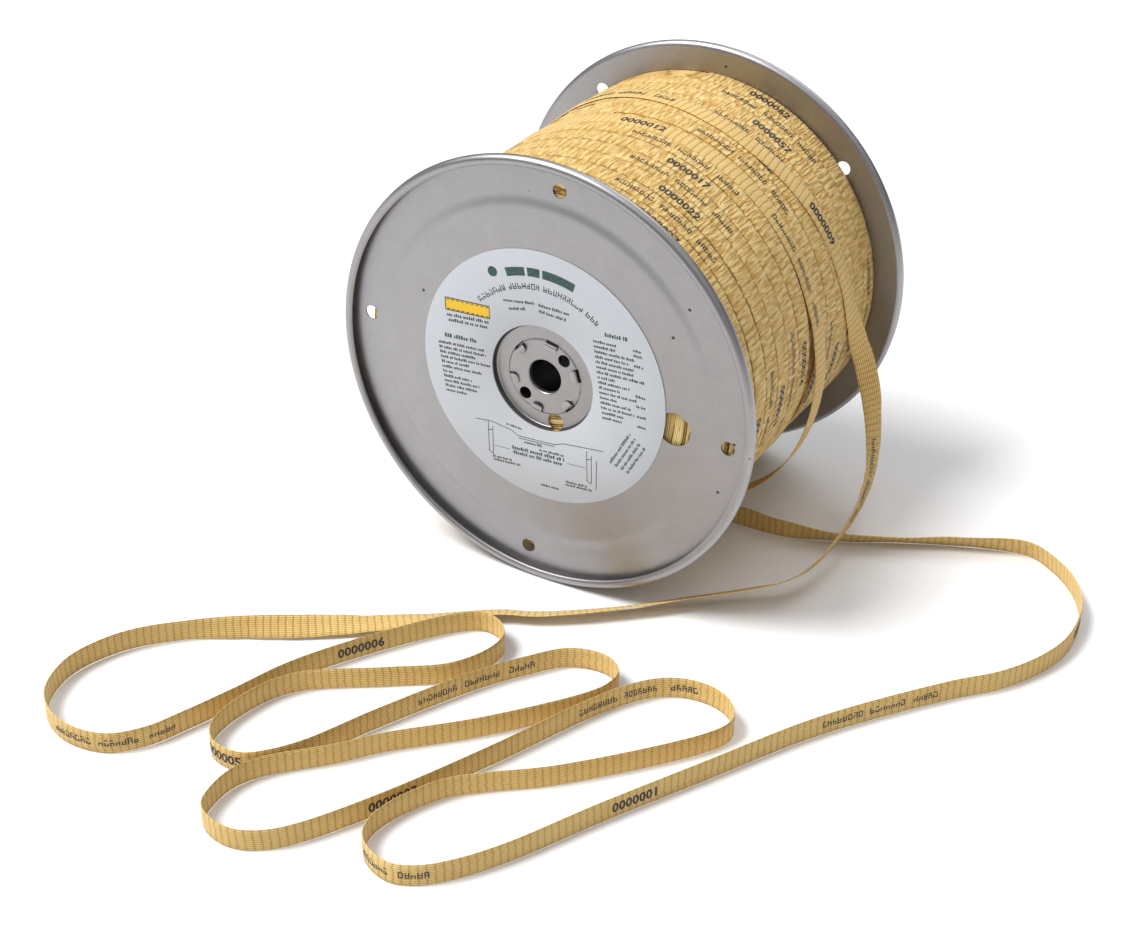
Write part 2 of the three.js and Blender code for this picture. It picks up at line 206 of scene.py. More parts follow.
def sheet_steel(name, colour, polish=0.0):
    """Plain bright sheet: cloudy, finely grained, with dark specks, and painted shade in its corners."""
    g = Graph(name)
    place = g.place()
    clouds = g.noise(place, 16.0, 4.0, 0.6)
    grain = g.noise(place, 900.0, 3.0, 0.7)
    blotch = g.noise(place, 70.0, 3.0, 0.6)
    specks = 1 - g.speckle(place, 48.0).step(0.03, 0.06)
    specks = specks * g.noise(place, 23.0, 1.0).step(0.5, 0.54)
    x, y, z = g.parts(place)
    radius = g.from_axis(x, z)
    rings = g.noise(g.point(radius * 2600.0, y * 40.0), 1.0, 3.0, 0.6)
    scuffs = g.noise(g.point(x * 60.0 + z * 25.0, z * 900.0 - x * 300.0, y * 60.0), 1.0, 2.0)
    scuffs = scuffs.step(0.66, 0.72) * g.noise(place, 30.0, 1.0).step(0.5, 0.62)
    # Painted shade lies in the step down to the hub and round the folds of the barrel's tongues: near
    # black, rough and hardly metallic.
    recess = (radius / MM).step(31.65, 31.9) * (1 - (radius / MM).step(32.6, 33.2))
    fold = 1 - ((radius / MM - 23.3).size()).step(0.25, 0.8)
    painted_shade = (recess * 0.9 + fold * 0.45 * blotch.step(0.35, 0.6)).clamp() * (y.size() / MM).step(93.0, 94.5)
    dark = toned(colour, 0.74)
    light = toned(colour, 1.14)
    tone = (clouds * 0.4 + blotch * 0.35 + grain * 0.8 - 0.28).clamp()
    shade = g.blend(tone, dark, light)
    shade = g.blend(scuffs * 0.35, shade, light)
    shade = g.blend(specks * 0.85, shade, (0.05, 0.045, 0.04))
    # Painted shade: near black in the step down to the hub and round the tongues' folds.
    shade = g.blend(painted_shade, shade, (0.008, 0.008, 0.009))
    rough = (0.33 - 0.2 * polish) + 0.12 * clouds + 0.07 * grain + 0.3 * specks + 0.5 * painted_shade
    lie = g.bump(rings, 0.00002, 0.25)
    lie = g.bump(grain * 0.6 + blotch * 0.4 - specks, 0.00006, 0.6, lie)
    return g.surface(Base_Color=shade, Roughness=rough, Metallic=1.0 - 0.8 * painted_shade, Normal=lie)


def coated_paper(colour):
    """Smooth label stock with faint fibres, a little mottle and a slight broad waviness."""
    g = Graph("coated_paper")
    place = g.place()
    fibre = g.noise(g.place((1, 1, 2.4)), 620.0, 5.0, 0.7)
    mottle = g.noise(place, 42.0, 3.0)
    tone = (fibre * 0.55 + mottle * 0.45).clamp()
    shade = g.blend(tone, toned(colour, 0.9), toned(colour, 1.04))
    lie = g.bump(fibre, 0.00004, 0.35)
    lie = g.bump(g.noise(place, 18.0, 1.0), 0.0006, 0.25, lie)
    return g.surface(Base_Color=shade, Roughness=0.5 + 0.18 * fibre, Normal=lie)


def ink(name, colour, wear=0.25):
    """Printed ink that thins out a little over the paper or weave beneath it."""
    g = Graph(name)
    place = g.place()
    thin = g.noise(place, 1500.0, 3.0, 0.6)
    pale = tuple(c + (0.45 - c) * wear for c in colour)
    shade = g.blend(thin.step(0.42, 0.75), colour, pale)
    return g.surface(Base_Color=shade, Roughness=0.5 + 0.2 * thin, Normal=g.bump(thin, 0.00002, 0.4))


def woven_tape(name, light, mid, deep, border_tone, puckers):
    """Flat woven polyester: yarns that run along the tape, crossed by columns, and puckers, with light and
    shade painted on their relief.
    """
    g = Graph(name)
    along, across = g.along_tape()
    drift = g.noise(g.point(along * 60.0, across * 60.0), 1.0, 2.0) - 0.5
    yarns = across / (1.22 * MM) + drift * 0.3
    yarn = 1 - ((yarns.fraction() - 0.5).size() * 2.0) ** 2.4
    sway = g.noise(g.point(along * 9.0, across * 330.0), 1.0, 1.0) - 0.5
    column = (along / COLUMN + sway * 0.5).fraction()
    crest = 1 - ((column - 0.5).size() * 2.0) ** 5.0
    lift = yarn * (0.5 + 0.5 * crest)
    ripple = g.noise(g.point(along * 520.0, across * 105.0), 1.0, 1.0, 0.5)
    crimp = ripple.step(0.34, 0.66) * (0.8 * puckers) + crest * (0.85 - 0.7 * puckers)
    filament = g.noise(g.point(along * 900.0, across * 5200.0), 1.0, 2.0, 0.6)
    patch = g.noise(g.point(along * 22.0, across * 40.0, 3.0), 1.0, 3.0)
    dashes = g.noise(g.point(along * 150.0, 7.0), 1.0, 1.0).step(0.42, 0.5)
    # On the wound layers this dashed border is painted shade where the courses meet; on the loose tape it
    # is a lighter edge.
    border = (across.size() / MM).step(6.35, 6.7) * dashes * 0.7
    # Painted light and shade: the raised yarns and the crests of the columns and puckers take the lit tone,
    # and the sunk yarns and troughs take the shaded tone; the filaments and patches vary the tape's own
    # tone.
    tone = lift * (0.5 - 0.25 * puckers) + crimp * (0.5 * puckers + 0.12) + filament * 0.24
    tone = tone + (patch - 0.5) * 0.22 + (0.02 - 0.12 * puckers)
    shade = g.ramp(tone.clamp(), [(0.05, deep), (0.4, mid), (0.8, light)])
    # Painted shade in the gaps between the yarns.
    gaps = (1 - yarn.step(0.05, 0.5)) * (0.52 - 0.2 * puckers)
    shade = g.blend(gaps.clamp(), shade, toned(deep, 0.55))
    shade = g.blend(border.clamp(), shade, border_tone)
    rough = 0.66 + 0.2 * filament - 0.1 * lift
    lie = g.bump(crimp, 0.0009 * puckers + 0.00025, 0.8)
    lie = g.bump(lift + 0.25 * filament, 0.0002, 0.8, lie)
    return g.surface(
        Base_Color=shade,
        Roughness=rough,
        Normal=lie,
        Specular_IOR_Level=0.25,
        Sheen_Weight=0.12,
    )


def stacked_edges(light, deep):
    """The side of the winding: the edges of its layers, seen as rings."""
    g = Graph("stacked_edges")
    place = g.place()
    x, _, z = g.parts(place)
    radius = g.from_axis(x, z)
    wander = g.noise(place, 55.0, 3.0)
    broad = g.noise(g.point(radius * 420.0, wander * 1.2), 1.0, 2.0, 0.6)
    ring = (radius / (1.3 * MM) + wander * 2.2).fraction()
    layer = 1 - ((ring - 0.5).size() * 2.0) ** 2.0
    tuft = g.noise(place, 1400.0, 3.0, 0.6)
    deepest = toned(deep, 0.1)
    tone = broad.step(0.36, 0.62) * 0.75 + layer * 0.3 + tuft * 0.3 - 0.3
    shade = g.ramp(tone.clamp(), [(0.02, deepest), (0.22, deep), (0.7, light)])
    lie = g.bump(layer * 0.5 + broad.step(0.36, 0.6) + 0.2 * tuft, 0.0009, 1.0)
    return g.surface(Base_Color=shade, Roughness=0.7 + 0.2 * tuft, Normal=lie)


def pale_floor(colour):
    """A plain pale sweep with painted shade that darkens it softly towards the front of the studio."""
    g = Graph("pale_floor")
    place = g.place()
    soft = g.noise(place, 3.0, 2.0)
    x, y, _ = g.parts(place)
    # Painted shade: the floor darkens towards the front.
    front = (x * 0.51 - y * 0.86).step(0.42, 1.1)
    shade = g.blend(soft, toned(colour, 0.99), colour)
    shade = g.blend(front * 0.85, shade, toned(colour, 0.3))
    return g.surface(Base_Color=shade, Roughness=0.7 + 0.1 * soft)


# ---- Mesh tools ----
def finish_mesh(bm, name, material, sharp=30.0):
    """Turns a bmesh into a piece of the reel that shades smoothly between its sharp edges."""
    mesh = bpy.data.meshes.new(name)
    bm.to_mesh(mesh)
    bm.free()
    mesh.materials.append(material)
    mesh.polygons.foreach_set("use_smooth", [True] * len(mesh.polygons))
    mesh.set_sharp_from_angle(angle=math.radians(sharp))
    return add_object(name, mesh)


def add_object(name, data):
    made = bpy.data.objects.new(name, data)
    bpy.context.scene.collection.objects.link(made)
    return made


def shown_mesh(piece):
    """A piece's mesh as it shows, with its modifiers or its text worked out."""
    shown = piece.evaluated_get(bpy.context.evaluated_depsgraph_get())
    return bpy.data.meshes.new_from_object(shown)


def put(piece, slot, *nodes):
    """Fixes a piece to the reel in place of its CAD nodes."""
    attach(piece, "root")
    if nodes:
        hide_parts(*nodes)


def face_outward(bm):
    bmesh.ops.recalc_face_normals(bm, faces=bm.faces)


def chain(bm, points, closed=False):
    """A wire through points of (radius, distance along the axis), in millimetres."""
    spots = [bm.verts.new((radius * MM, along * MM, 0.0)) for radius, along in points]
    for first, second in zip(spots, spots[1:]):
        bm.edges.new((first, second))
    if closed:
        bm.edges.new((spots[-1], spots[0]))
    return spots


def round_corners(bm, corners, radius, steps=4):
    """Rounds some of a wire's corners to a radius in millimetres."""
    settings = {"segments": steps, "profile": 0.5, "affect": "VERTICES", "material": -1}
    bmesh.ops.bevel(bm, geom=corners, offset=radius * MM, **settings)


def spin(bm, steps):
    """Turns what is in the bmesh once about the reel's axis, at the origin."""
    geometry = bm.verts[:] + bm.edges[:] + bm.faces[:]
    turn = {"cent": (0, 0, 0), "axis": (0, 1, 0), "dvec": (0, 0, 0), "angle": 2 * math.pi}
    bmesh.ops.spin(bm, geom=geometry, steps=steps, use_merge=True, **turn)
    bmesh.ops.remove_doubles(bm, verts=bm.verts, dist=1e-6)
    face_outward(bm)


def mirror(bm, directions):
    bmesh.ops.scale(bm, vec=directions, verts=bm.verts)
    face_outward(bm)


def lift(bm):
    """From the axis at the origin to its place above the floor."""
    bmesh.ops.translate(bm, vec=(0, 0, AXIS_HEIGHT), verts=bm.verts)


def ring_point(radius, degrees, along=0.0):
    angle = math.radians(degrees)
    return Vector((radius * math.cos(angle), along, radius * math.sin(angle)))


def add_rod(bm, radius, depth, middle, segments):
    """A closed round rod along Y."""
    place = Matrix.Translation(middle) @ Matrix.Rotation(math.pi / 2, 4, "X")
    shape = {"cap_ends": True, "cap_tris": False, "segments": segments, "depth": depth}
    bmesh.ops.create_cone(bm, radius1=radius, radius2=radius, matrix=place, **shape)


# ---- Flanges ----
RIM_HOLES = [-5.3 + 90 * i for i in range(4)]
TABS = [17 + 60 * i for i in range(6)]
REAR_TURN = 146

# The radius of each round hole, and of the circle it lies on, in millimetres, and its angle.
FLANGE_HOLES = [(4.3, 116.7, angle) for angle in RIM_HOLES]
FLANGE_HOLES += [(10.2, 84.2, RIM_HOLES[0]), (5.1, 28.2, -75.8), (3.8, 18.6, 47), (3.8, 18.6, 227)]
SLOT_CIRCLE = 22.6
SLOT_SIZE = (1.9, 20, 8.0)
CUTTER_DEPTH = 20
CUTTER_ALONG = 97

# The pressed sheet's outer face from the arbor to the rim, as (radius, distance along the axis).
PRESSING = [
    (10.3, 93.8), (10.3, 96.6), (BARREL_RADIUS, 96.6), (23.6, 96.0), (31.6, 96.0), (32.8, 99.0),
    (103.7, 99.0), (108.9, 98.0), (130.15, 98.0),
]
PRESSED_CORNERS = [((1,), 1.1, 4), ((4, 5), 0.7, 4), ((6, 7), 1.6, 4), ((2, 3), 0.35, 3)]
CURL_RADIUS = 2.3
CURL_DEGREES = 230
CURL_STEPS = 24


def flange_wire(bm):
    """The pressing in section, ending in a rolled rim."""
    radius, along = PRESSING[-1]
    rim = []
    for i in range(1, CURL_STEPS + 1):
        angle = math.radians(-90 + CURL_DEGREES * i / CURL_STEPS)
        rim.append((radius + CURL_RADIUS * math.cos(angle), along + CURL_RADIUS * (1 + math.sin(angle))))
    wire = chain(bm, PRESSING + rim)
    for corners, bend, steps in PRESSED_CORNERS:
        round_corners(bm, [wire[i] for i in corners], bend, steps)


def flange_cutters(turn):
    """All the holes of one flange, as one cutter on the side of +Y."""
    bm = bmesh.new()
    along = CUTTER_ALONG * MM
    for radius, circle, degrees in FLANGE_HOLES:
        add_rod(bm, radius * MM, CUTTER_DEPTH * MM, ring_point(circle * MM, turn + degrees, along), 48)
    for degrees in TABS:
        middle = Matrix.Translation(ring_point(SLOT_CIRCLE * MM, turn + degrees, along))
        tilt = Matrix.Rotation(-math.radians(turn + degrees), 4, "Y")
        size = Matrix.Diagonal((*(side * MM for side in SLOT_SIZE), 1.0))
        bmesh.ops.create_cube(bm, size=1.0, matrix=middle @ tilt @ size)
    return bm


def make_flange(name, steel, turn, side):
    """One pressed flange: spun, given its thickness, pierced, and its cut edges eased."""
    bm = bmesh.new()
    flange_wire(bm)
    spin(bm, 192)
    if sum(f.normal.y * f.calc_area() for f in bm.faces) < 0:
        bmesh.ops.reverse_faces(bm, faces=bm.faces)
    bmesh.ops.solidify(bm, geom=bm.faces[:], thickness=SHEET * MM)
    face_outward(bm)
    cutters = flange_cutters(turn)
    for work in (bm, cutters):
        mirror(work, (-side, side, 1))
        lift(work)
    flange = finish_mesh(bm, name, steel)
    cutter = finish_mesh(cutters, name + "_cutter", steel)
    pierce = flange.modifiers.new("holes", "BOOLEAN")
    set_all(pierce, object=cutter, operation="DIFFERENCE", solver="EXACT")
    ease = flange.modifiers.new("eased_edges", "BEVEL")
    set_all(ease, width=0.16 * MM, segments=2, limit_method="ANGLE", angle_limit=math.radians(50))
    flange.modifiers.new("flat_faces", "WEIGHTED_NORMAL").keep_sharp = True
    mesh = shown_mesh(flange)
    flange.modifiers.clear()
    flange.data = mesh
    bpy.data.objects.remove(cutter)
    return flange


# ---- Barrel ----
TAB_HALF = 3.5  # half of a tongue's width
TAB_WALL = 0.4
BARREL_HALF = 94.6


def add_tab(bm, degrees, side):
    """A tongue that rises through its slot and is folded in over the hub, with a round end."""
    path = [(22.5, 94.0, TAB_HALF), (22.5, 96.5, TAB_HALF)]
    for i in range(1, 6):
        angle = math.radians(90 * i / 5)
        path.append((21.3 + 1.2 * math.cos(angle), 96.5 + 1.7 * math.sin(angle), TAB_HALF))
    for i in range(7):
        share = i / 6
        half = TAB_HALF * math.sqrt(max(1 - share * share, 0.02))
        path.append((20.9 - 3.2 * share, 98.2 - 0.9 * share * share, half))
    turn = Matrix.Rotation(-math.radians(degrees), 4, "Y")
    edge = None
    for radius, along, half in path:
        places = [turn @ Vector((radius, side * along, across)) * MM for across in (-half, half)]
        left, right = (bm.verts.new(place) for place in places)
        if edge:
            bm.faces.new((edge[1], right, left, edge[0]))
        edge = (left, right)


def make_barrel(steel):
    """The tube, with six tongues at each end."""
    bm = bmesh.new()
    for angle in TABS:
        add_tab(bm, angle, -1)
        add_tab(bm, angle, 1)
    face_outward(bm)
    bmesh.ops.solidify(bm, geom=bm.faces[:], thickness=TAB_WALL * MM)
    face_outward(bm)
    tube = bmesh.new()
    walls = (BARREL_RADIUS - BARREL_WALL, BARREL_RADIUS)
    corners = [(radius, -BARREL_HALF) for radius in walls]
    corners += [(radius, BARREL_HALF) for radius in reversed(walls)]
    chain(tube, corners, closed=True)
    spin(tube, 96)
    scratch = bpy.data.meshes.new("tube")
    tube.to_mesh(scratch)
    tube.free()
    bm.from_mesh(scratch)
    bpy.data.meshes.remove(scratch)
    lift(bm)
    return finish_mesh(bm, "steel_barrel", steel)


# ---- Label ----
LABEL_INNER = 32.9
LABEL_OUTER = 78.5
LABEL_THICKNESS = 0.25
INK_THICKNESS = 0.03
INK_LIFT = 0.012


def make_label(paper):
    """A flat ring of paper."""
    bm = bmesh.new()
    front = LABEL_FACE / MM
    back = front - LABEL_THICKNESS
    corners = [(LABEL_INNER, back), (LABEL_OUTER, back), (LABEL_OUTER, front), (LABEL_INNER, front)]
    wire = chain(bm, corners, closed=True)
    round_corners(bm, [wire[2], wire[3]], 0.08, 2)
    spin(bm, 256)
    mirror(bm, (1, -1, 1))
    lift(bm)
    return finish_mesh(bm, "paper_label", paper)


def sign_bars(wide, tall, thick, dice, low_levels, high_levels):
    """A made-up sign as (across, up, width, height) of its two uprights and two bars."""
    return [
        (0.0, 0.0, thick, tall * dice.choice((1.0, 1.0, 0.55))),
        (wide - thick, 0.0, thick, tall * dice.choice((1.0, 0.45, 0.75))),
        (0.0, tall * dice.choice(low_levels), wide, thick),
        (0.0, tall * dice.choice(high_levels), wide * 0.8, thick),
    ]


class Print:
    """Thin blocks of ink on the label's face, placed in millimetres from the axis."""

    def __init__(self, name, material, weight=0.15):
        self.name = name
        self.material = material
        self.weight = weight
        self.bm = bmesh.new()

    def block(self, x, z, width, height, tilt=0.0, over=0.0):
        """A block with its lower left corner at x, z before it is tilted about that corner."""
        size = Matrix.Diagonal((width * MM, INK_THICKNESS * MM, height * MM, 1.0))
        middle = Matrix.Translation((width / 2 * MM, 0, height / 2 * MM))
        turn = Matrix.Rotation(-math.radians(tilt), 4, "Y")
        corner = Matrix.Translation((x * MM, -LABEL_FACE - (INK_LIFT + over) * MM, z * MM))
        bmesh.ops.create_cube(self.bm, size=1.0, matrix=corner @ turn @ middle @ size)

    def line(self, x, z, length, height, tilt=0.0, seed=0):
        """A row of word-like runs of small blocks."""
        dice = random.Random(seed * 7919 + int(abs(x * 13 + z * 101)))
        height *= 1.2
        at = 0.0
        tilted = math.radians(tilt)
        while at < length - 0.4:
            letters = dice.randint(2, 8)
            for _ in range(letters):
                wide = height * dice.uniform(0.32, 0.58)
                if at + wide > length:
                    break
                tall = height * dice.choice((0.72, 0.72, 1.0))
                spot_x = x + at * math.cos(tilted)
                spot_z = z + at * math.sin(tilted)
                self.block(spot_x, spot_z, wide, tall, tilt)
                at += wide + height * 0.17
            at += height * 0.42

    def arc(self, radius, start, end, height, letter, gap, seed):
        """Upright made-up signs along an arc, from start to end in degrees, clockwise."""
        dice = random.Random(seed)
        degrees = start
        left = dice.randint(4, 8)
        while degrees > end:
            wide = letter * dice.uniform(0.75, 1.2)
            spot = ring_point(radius, degrees)
            self.sign(spot.x, spot.z, wide, height, degrees - 90 - math.degrees(wide / radius) / 2, dice)
            degrees -= math.degrees((wide + gap) / radius)
            left -= 1
            if not left:
                degrees -= math.degrees(letter * 0.8 / radius)
                left = dice.randint(4, 9)

    def bar(self, radius, start, end, height):
        """A solid bar bent along an arc, from start to end in degrees, clockwise."""
        steps = max(2, round(start - end))
        front = -LABEL_FACE - (INK_LIFT + INK_THICKNESS / 2) * MM
        edges = []
        for k in range(steps + 1):
            degrees = start + (end - start) * k / steps
            edges.append([ring_point(r * MM, degrees, front) for r in (radius, radius + height)])
        for (low, high), (low_next, high_next) in zip(edges, edges[1:]):
            corners = (low, low_next, high_next, high)
            self.bm.faces.new([self.bm.verts.new(spot) for spot in corners])

    def disc(self, x, z, radius):
        """A plain round spot."""
        middle = (x * MM, -LABEL_FACE - INK_LIFT * MM, z * MM)
        add_rod(self.bm, radius * MM, INK_THICKNESS * MM, middle, 32)

    def sign(self, x, z, wide, height, tilt, dice):
        """A made-up sign that stands for no real letter."""
        turned = math.radians(tilt)
        bars = sign_bars(wide, height, height * self.weight, dice, (0.0, 0.42, 0.3), (0.0, 0.42, 0.85))
        for across, up, width, tall in bars:
            spot_x = x + across * math.cos(turned) - up * math.sin(turned)
            spot_z = z + across * math.sin(turned) + up * math.cos(turned)
            self.block(spot_x, spot_z, width, tall, tilt)

    def stroke(self, x0, z0, x1, z1, width=0.45):
        length = math.hypot(x1 - x0, z1 - z0)
        self.block(x0, z0, length, width, math.degrees(math.atan2(z1 - z0, x1 - x0)))

    def finish(self):
        lift(self.bm)
        return finish_mesh(self.bm, self.name, self.material)


def make_label_print(dark, green, yellow):
    """Greeked print: a heading on two arcs, a blank yellow box, two columns and a drawing."""
    black = Print("label_print_black", dark)
    leaf = Print("label_print_green", green, 0.26)
    box = Print("label_print_yellow", yellow)
    for start, end in ((110.5, 99.5), (98.0, 91.0), (89.5, 71.5)):
        leaf.bar(62.6, start, end, 5.2)
    leaf.disc(-31.6, 59.2, 3.1)
    black.arc(54.8, 136, 51, 3.5, 2.3, 0.75, 11)
    for row in HEAD_LINES:
        black.line(*row)
    black.block(-63.6, 27.2, 30.0, 8.2, 3)
    box.block(-63.0, 27.9, 28.9, 6.9, 3, 0.02)
    for step in range(9):
        for x, z in ((-62.4, 28.1), (-62.7, 34.0)):
            black.block(x + 3.25 * step, z + 0.17 * step, 1.9, 0.55, 3, 0.045)
    leaf.line(-64.6, 9.6, 23.0, 2.1, 4, 7)
    for index, length in enumerate(LEFT_LENGTHS):
        black.line(-69.0 + 0.42 * index, 4.6 - 3.05 * index, length, 1.45, 4, 8 + index)
    leaf.line(40.0, 37.8, 15.0, 2.0, 3, 21)
    for index, length in enumerate(RIGHT_LENGTHS):
        black.line(32.8 + 0.42 * index, 32.6 - 3.1 * index, length, 1.4, 2, 22 + index)
        if index in RIGHT_ENTRIES:
            black.line(57.6 + 0.25 * index, 33.4 - 3.1 * index, 6.0, 1.4, 0, 60 + index)
    for index in range(4):
        leaf.line(45.0 + 3.7 * index, -41.5 - 1.1 * index, 26.0 - 1.2 * index, 1.5, 61, 80 + index)
    for x in (-36.6, 29.0):
        black.stroke(x, -38.2, x + 0.4, -57.5)
        black.stroke(x + 3.0, -40.5, x + 3.2, -58.8)
        black.stroke(x, -44.0, x + 3.0, -43.0)
        black.stroke(x, -57.5, x + 3.2, -59.2)
    for row in DRAWN_STROKES:
        black.stroke(*row)
    for row in DRAWN_HEADINGS:
        leaf.line(*row)
    for row in DRAWN_LINES:
        black.line(*row)
    return [part.finish() for part in (black, leaf, box)]


# Lines of words as (x, z, length, height, tilt, seed), and how long the lines of each column are.
HEAD_LINES = [
    (-24.6, 42.6, 20.5, 1.5, 8, 1), (-2.0, 45.2, 20.0, 1.5, -2, 2), (-21.0, 38.2, 12.5, 1.5, 12, 3),
    (-2.0, 41.6, 18.0, 1.5, -4, 4), (-62.6, 23.6, 28.0, 1.7, 4, 5), (-61.6, 20.4, 26.0, 1.7, 4, 6),
]
LEFT_LENGTHS = [31, 32, 24, 34, 19, 27, 8, 20, 24, 23, 15]
RIGHT_LENGTHS = [16, 14, 26, 22, 25, 24, 26, 11, 20, 14, 24, 11, 20, 22, 14, 13]
RIGHT_ENTRIES = (0, 1, 3, 6, 9, 11, 13, 15)

# The drawing: strokes as (x, z, x, z, width), a run that bends between two boxes, and its words.
DRAWN_STROKES = [
    (35.5, -43.0, 35.3, -62.0), (-45.0, -38.8, -34.5, -37.6), (-34.5, -37.6, -21.0, -39.4),
    (-21.0, -39.4, -16.0, -42.0), (-16.0, -42.0, 8.0, -40.6), (8.0, -40.6, 14.0, -38.2),
    (14.0, -38.2, 40.0, -35.4), (-16.0, -43.4, 8.0, -42.0), (-32.4, -53.2, -22.0, -52.6, 0.3),
    (16.5, -50.4, 28.5, -49.8, 0.3),
]
DRAWN_HEADINGS = [(-20.2, -51.6, 35.0, 1.9, 3, 90), (-19.4, -54.6, 33.5, 1.9, 3, 91)]
DRAWN_LINES = [
    (-12.0, -45.4, 13.0, 1.4, 3, 92), (-2.0, -47.6, 17.0, 1.3, 3, 93), (-33.6, -61.2, 13.0, 1.3, 4, 94),
    (-33.0, -63.2, 19.0, 1.3, 4, 95), (15.8, -63.4, 14.0, 1.3, 4, 96), (15.3, -65.4, 18.0, 1.3, 4, 97),
    (-1.0, -70.6, 12.0, 1.4, 3, 98), (-24.0, -36.6, 11.0, 1.3, -4, 99),
]


# ---- Tape ----
class Line:
    """A run of tape: places along its middle and, at each, the way its width points."""

    def __init__(self, places, widths, start=0.0):
        self.places = places
        self.widths = widths
        self.marks = [start]
        for before, after in zip(places, places[1:]):
            self.marks.append(self.marks[-1] + (after - before).length)

    @property
    def length(self):
        return self.marks[-1] - self.marks[0]

    def frame_at(self, index):
        before = self.places[max(index - 1, 0)]
        after = self.places[min(index + 1, len(self.places) - 1)]
        along = (after - before).normalized()
        across = self.widths[index] - along * self.widths[index].dot(along)
        across.normalize()
        return along, across, along.cross(across)

    def at(self, distance, across=0.0, off=0.0):
        """The point that far along the tape, off its middle and off its printed face."""
        low = min(max(bisect_right(self.marks, distance) - 1, 0), len(self.marks) - 2)
        high = low + 1
        span = self.marks[high] - self.marks[low]
        share = (distance - self.marks[low]) / span if span else 0.0
        share = min(max(share, 0.0), 1.0)
        place = self.places[low].lerp(self.places[high], share)
        _, first, face = self.frame_at(low)
        _, second, other = self.frame_at(high)
        side = first.lerp(second, share).normalized()
        return place + side * across + face.lerp(other, share).normalized() * off


def smooth_run(rows, step):
    """Places and widths every step along a curve through rows of (x, y, z, width's direction)."""
    points = [(Vector(row[:3]) * MM, Vector(row[3:]).normalized()) for row in rows]
    places, widths = [], []
    for index in range(len(points) - 1):
        group = [points[min(max(index + k, 0), len(points) - 1)] for k in (-1, 0, 1, 2)]
        if index == 0:
            group[0] = (2 * group[1][0] - group[2][0], group[1][1])
        if index == len(points) - 2:
            group[3] = (2 * group[2][0] - group[1][0], group[2][1])
        knots = [0.0]
        for first, second in zip(group, group[1:]):
            knots.append(knots[-1] + math.sqrt((second[0] - first[0]).length) + 1e-9)
        count = max(1, round((group[2][0] - group[1][0]).length / step))
        for k in range(count):
            t = knots[1] + (knots[2] - knots[1]) * k / count
            places.append(barry([p for p, _ in group], knots, t))
            share = k / count
            share = share * share * (3 - 2 * share)
            widths.append(group[1][1].lerp(group[2][1], share).normalized())
    places.append(points[-1][0])
    widths.append(points[-1][1])
    return Line(places, widths)


def barry(group, knots, t):
    """A point of the centripetal curve through the middle two of four points."""
    def between(first, second, low, high):
        return first * ((high - t) / (high - low)) + second * ((t - low) / (high - low))

    a = [between(group[i], group[i + 1], knots[i], knots[i + 1]) for i in range(3)]
    b = [between(a[i], a[i + 1], knots[i], knots[i + 2]) for i in range(2)]
    return between(b[0], b[1], knots[1], knots[2])


SECTION = [(-1.0, 0.0), (-0.965, 1.0), (-0.5, 1.0), (0.0, 1.0), (0.5, 1.0), (0.965, 1.0)]
SECTION += [(-v, -h) for v, h in SECTION]
COLUMN = 4.2 * MM  # from one crossing yarn to the next


def add_ribbon(bm, line, width, scallop=0.0, wander=0.0, seed=0.0):
    """Sweeps the tape's flat section along a line and unrolls it into the UV map called tape."""
    uv = bm.loops.layers.uv.get("tape") or bm.loops.layers.uv.new("tape")
    half = width * MM / 2
    top = TAPE_THICKNESS * MM / 2
    rings = []
    for index, place in enumerate(line.places):
        _, across, face = line.frame_at(index)
        mark = line.marks[index]
        beat = math.sin(mark * 2 * math.pi / COLUMN) * scallop
        ring = []
        for v, h in SECTION:
            reach = v * half + math.copysign(beat, v) * (abs(v) > 0.9)
            high = h * top
            if wander:
                bend = noise.noise(Vector((mark * 45, seed, math.copysign(3.0, v))))
                reach += bend * wander * abs(v)
                high += noise.noise(Vector((mark * 70, seed + 9.0, v))) * wander * 0.5
            ring.append(bm.verts.new(place + across * reach + face * high))
        rings.append((mark, ring))
    count = len(SECTION)
    for (before, last), (mark, ring) in zip(rings, rings[1:]):
        for k in range(count):
            n = (k + 1) % count
            quad = bm.faces.new((last[k], ring[k], ring[n], last[n]))
            for loop, (s, m) in zip(quad.loops, [(before, k), (mark, k), (mark, n), (before, n)]):
                loop[uv].uv = (s, SECTION[m][0] * half)
    for mark, ring in (rings[0], rings[-1]):
        cap = bm.faces.new(ring)
        for loop, (v, _) in zip(cap.loops, SECTION):
            loop[uv].uv = (mark, v * half)
    face_outward(bm)


# The winding, in angles from +X counted clockwise from the front, and millimetres along Y.
TOP_HELIX_START = 74.6
TOP_HELIX_ALONG = 6.0
PITCH = 14.05
TOP_ENDS = (2529, 122)
UNDER_ENDS = (1530, -620)
HELIX_STEP = 1.5


def helix(first, last, along_at, level):
    """A wound run from angle first down to angle last, clockwise, on a drum of that radius."""
    places, widths = [], []
    count = round((first - last) / HELIX_STEP)
    for k in range(count + 1):
        degrees = first - (first - last) * k / count
        spot = ring_point(level * MM, degrees, along_at(degrees) * MM)
        places.append(spot + Vector((0, 0, AXIS_HEIGHT)))
        widths.append(Vector((0, 1, 0)))
    return Line(places, widths)


def top_along(degrees):
    """Where the middle of the top layer's tape lies at an angle counted on from its last course."""
    base = TOP_HELIX_ALONG - PITCH * (degrees - TOP_HELIX_START) / 360
    gap = 0.45 if degrees > 1820 else 0.0
    return base - gap + 0.22 * math.sin(degrees * 0.031) + 0.12 * math.sin(degrees * 0.0173 + 2)


def under_along(degrees):
    """The same for the layer beneath, which runs the other way."""
    return 36.0 + 13.35 * (degrees - 58.3) / 360 + 0.2 * math.sin(degrees * 0.027 + 1)


